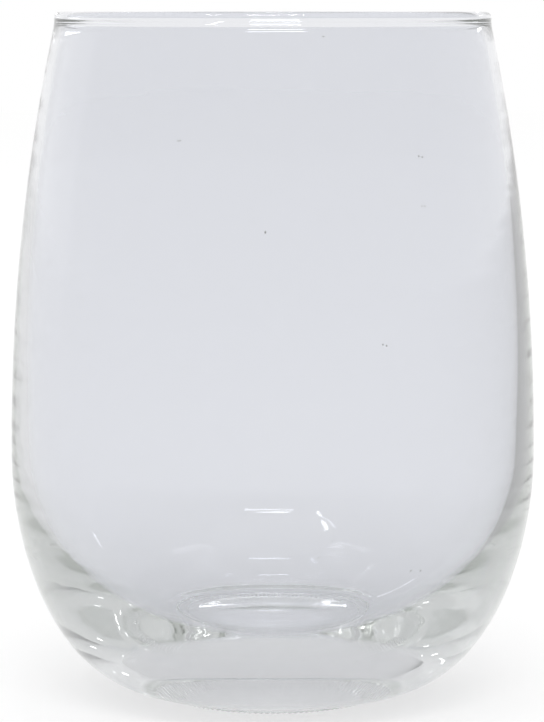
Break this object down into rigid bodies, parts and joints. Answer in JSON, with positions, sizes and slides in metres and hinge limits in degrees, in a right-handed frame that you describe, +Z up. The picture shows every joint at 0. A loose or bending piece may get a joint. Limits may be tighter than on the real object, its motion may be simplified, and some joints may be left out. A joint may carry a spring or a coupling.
{
  "type": "stemless wine glass",
  "caption": "Clear glass tumbler for wine: a tall bowl that narrows to a rounded rim, on a thick rounded heel and a solid base with a resting ring.",
  "frame": {"origin": "centre of the ring that the glass rests on, in the resting plane", "axes": "+Z up along the glass's axis of revolution, from the foot ring towards the mouth"},
  "size_m": [0.0888, 0.0888, 0.1157],
  "materials": {
    "clear_glass": "clear, fire-polished and glossy all over, with a faint grey-green tint where it is thick"
  },
  "bodies": {
    "root": {"glass_body": "clear_glass"}
  },
  "joints": []
}
